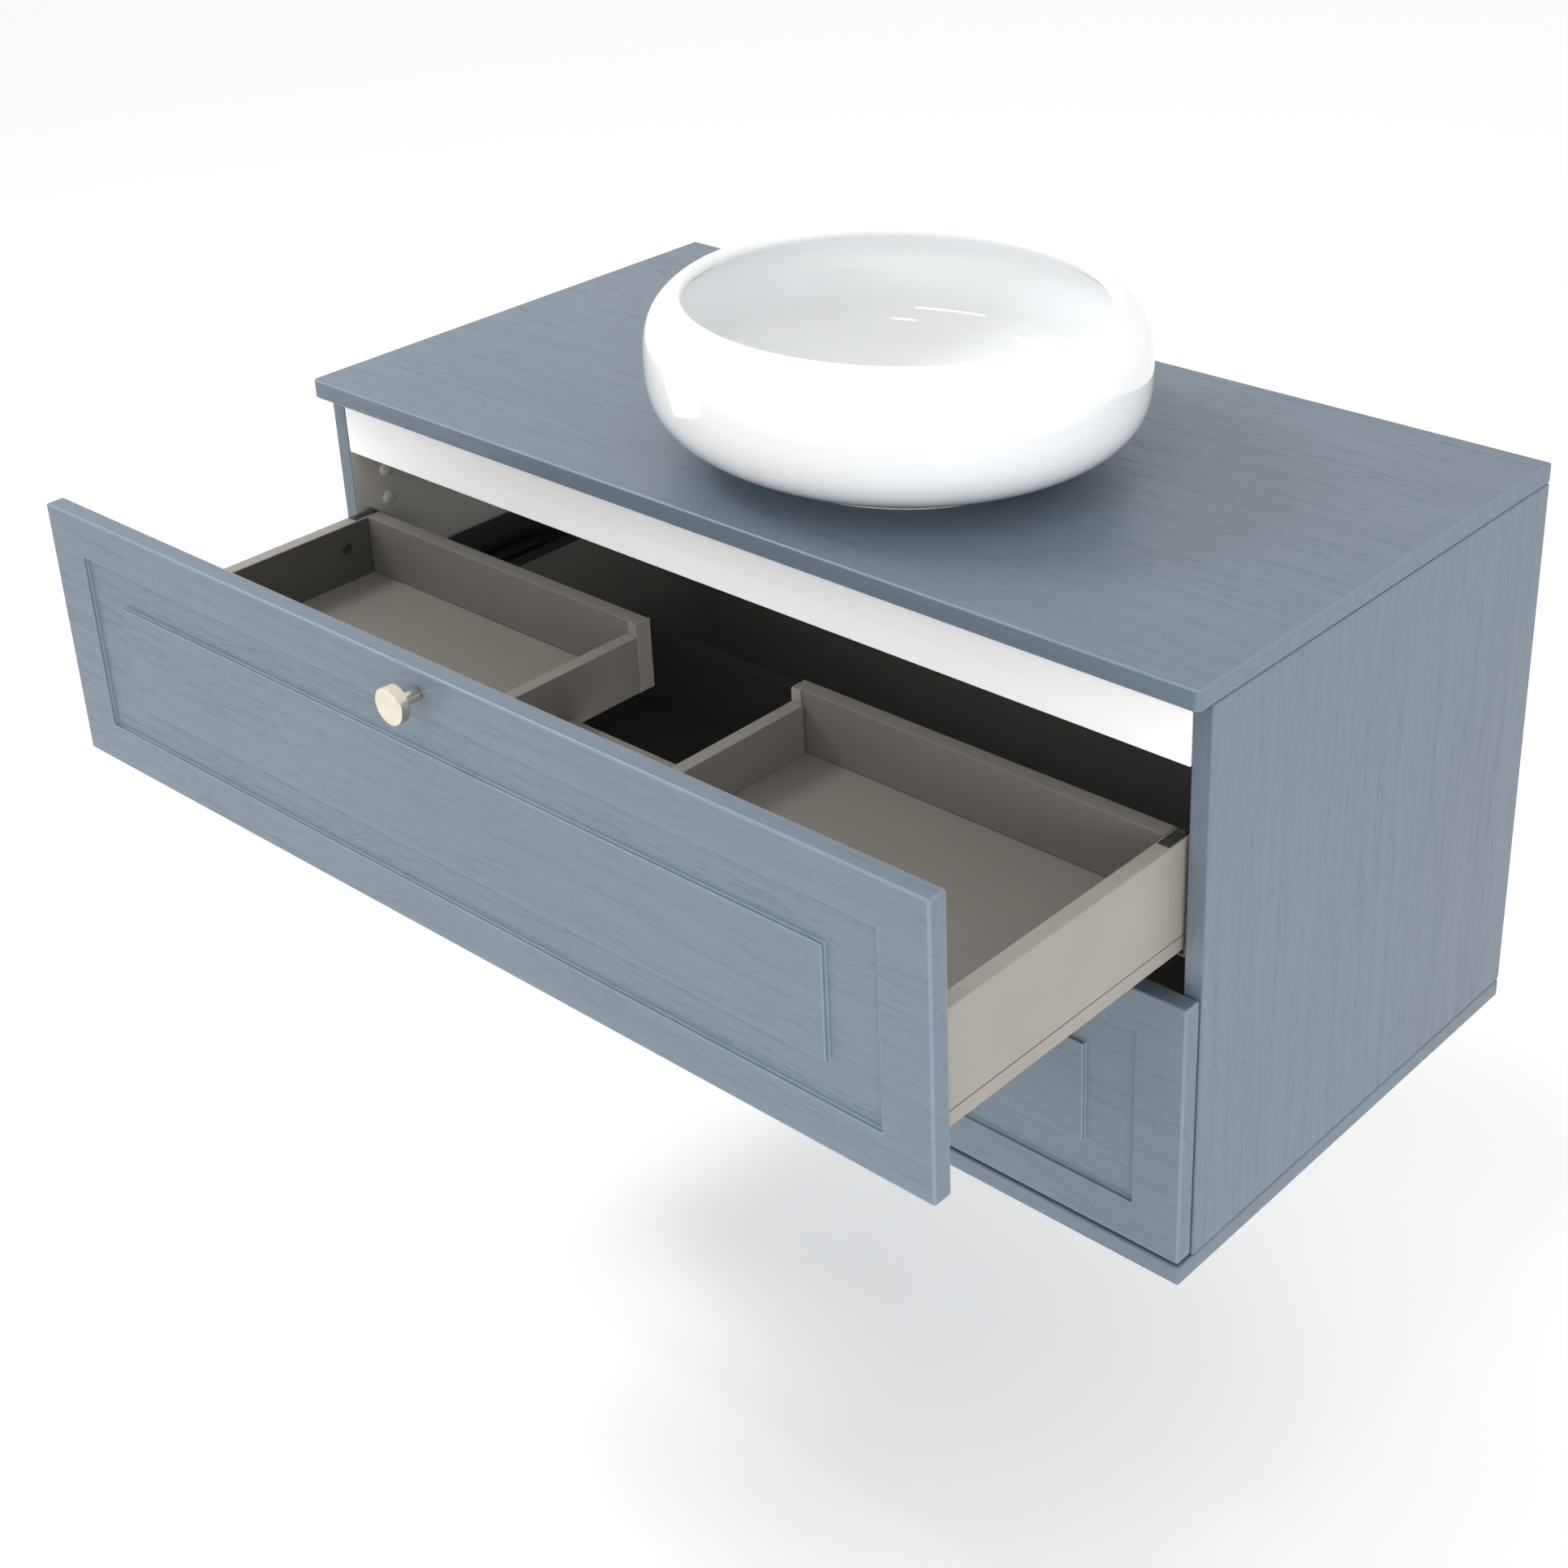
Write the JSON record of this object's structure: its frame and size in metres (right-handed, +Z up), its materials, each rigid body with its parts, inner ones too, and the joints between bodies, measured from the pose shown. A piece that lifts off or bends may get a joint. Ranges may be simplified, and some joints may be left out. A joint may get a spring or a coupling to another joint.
{
  "type": "vessel sink on vanity",
  "caption": "Wall-hung vanity cabinet with sliding drawers cut around the waste, shaker fronts with disc knobs, and an oval vessel basin on its top slab.",
  "frame": {"origin": "middle of the wall rail's back face, in the plane of the wall", "axes": "+Z up, -Y out of the wall towards the user, +X to the right seen from the front"},
  "size_m": [0.9, 0.747, 0.61],
  "materials": {
    "blue_paint": "satin blue-grey paint over open-pored wood grain",
    "white_laminate": "white melamine board",
    "dark_board": "warm grey laminated board in shade",
    "black_steel": "anthracite powder-coated steel",
    "chrome": "polished",
    "nickel": "champagne nickel, finely turned",
    "taupe_steel": "matt taupe powder coat",
    "grey_laminate": "warm grey laminate, matt",
    "dark_plastic": "matt dark grey",
    "ceramic": "glossy white glaze",
    "rubber": "matt black",
    "clear_plastic": "translucent, smooth"
  },
  "bodies": {
    "cabinet": {"countertop": "blue_paint", "base_panel": "blue_paint", "side_panel_left": "blue_paint", "side_panel_right": "blue_paint", "back_panel": "dark_board", "wall_rail": "dark_board", "front_rail": "white_laminate", "screw_cap_left_upper": "clear_plastic", "screw_cap_left_lower": "clear_plastic", "screw_cap_right_upper": "clear_plastic", "screw_cap_right_lower": "clear_plastic", "basin": "ceramic", "basin_sealant": "clear_plastic", "waste_body": "chrome", "waste_washer": "rubber", "waste_nut": "chrome", "waste_tail": "chrome", "upper_runner_cabinet_left": "black_steel", "upper_runner_cabinet_right": "black_steel", "lower_runner_cabinet_left": "black_steel", "lower_runner_cabinet_right": "black_steel"},
    "upper_drawer": {"upper_front": "blue_paint", "upper_knob": "nickel", "upper_knob_screw": "chrome", "upper_floor": "grey_laminate", "upper_side_left": "taupe_steel", "upper_side_right": "taupe_steel", "upper_fixing_left": "chrome", "upper_fixing_right": "chrome", "upper_clip_left": "dark_plastic", "upper_clip_right": "dark_plastic", "upper_adjuster_left": "dark_plastic", "upper_adjuster_right": "dark_plastic", "upper_back_left": "grey_laminate", "upper_back_right": "grey_laminate", "upper_divider_left": "grey_laminate", "upper_divider_right": "grey_laminate", "upper_trim_left": "taupe_steel", "upper_trim_right": "taupe_steel", "upper_runner_glide_left": "black_steel", "upper_runner_glide_right": "black_steel"},
    "lower_drawer": {"lower_front": "blue_paint", "lower_knob": "nickel", "lower_knob_screw": "chrome", "lower_floor": "grey_laminate", "lower_back": "grey_laminate", "lower_side_left": "taupe_steel", "lower_side_right": "taupe_steel", "lower_fixing_left": "chrome", "lower_fixing_right": "chrome", "lower_clip_left": "dark_plastic", "lower_clip_right": "dark_plastic", "lower_runner_glide_left": "black_steel", "lower_runner_glide_right": "black_steel"},
    "upper_runner_members": {"upper_runner_middle_left": "black_steel", "upper_runner_middle_right": "black_steel"},
    "lower_runner_members": {"lower_runner_middle_left": "black_steel", "lower_runner_middle_right": "black_steel"},
    "plug": {"waste_plug": "chrome"}
  },
  "joints": [
    {"name": "upper_drawer_slide", "type": "slide", "parent": "cabinet", "child": "upper_drawer", "axis": [0, -1, 0], "range_m": [-0.262, 0.03]},
    {"name": "lower_drawer_slide", "type": "slide", "parent": "cabinet", "child": "lower_drawer", "axis": [0, -1, 0], "range_m": [0, 0.28]},
    {"name": "upper_runner_slide", "type": "slide", "parent": "cabinet", "child": "upper_runner_members", "axis": [0, -1, 0], "range_m": [-0.131, 0.015]},
    {"name": "lower_runner_slide", "type": "slide", "parent": "cabinet", "child": "lower_runner_members", "axis": [0, -1, 0], "range_m": [0, 0.14]},
    {"name": "plug_travel", "type": "slide", "parent": "cabinet", "child": "plug", "axis": [0, 0, 1], "range_m": [-0.0056, 0]}
  ],
  "couplings": [
    {"joint": "upper_runner_slide", "follows": "upper_drawer_slide", "ratio": 0.5},
    {"joint": "lower_runner_slide", "follows": "lower_drawer_slide", "ratio": 0.5}
  ]
}
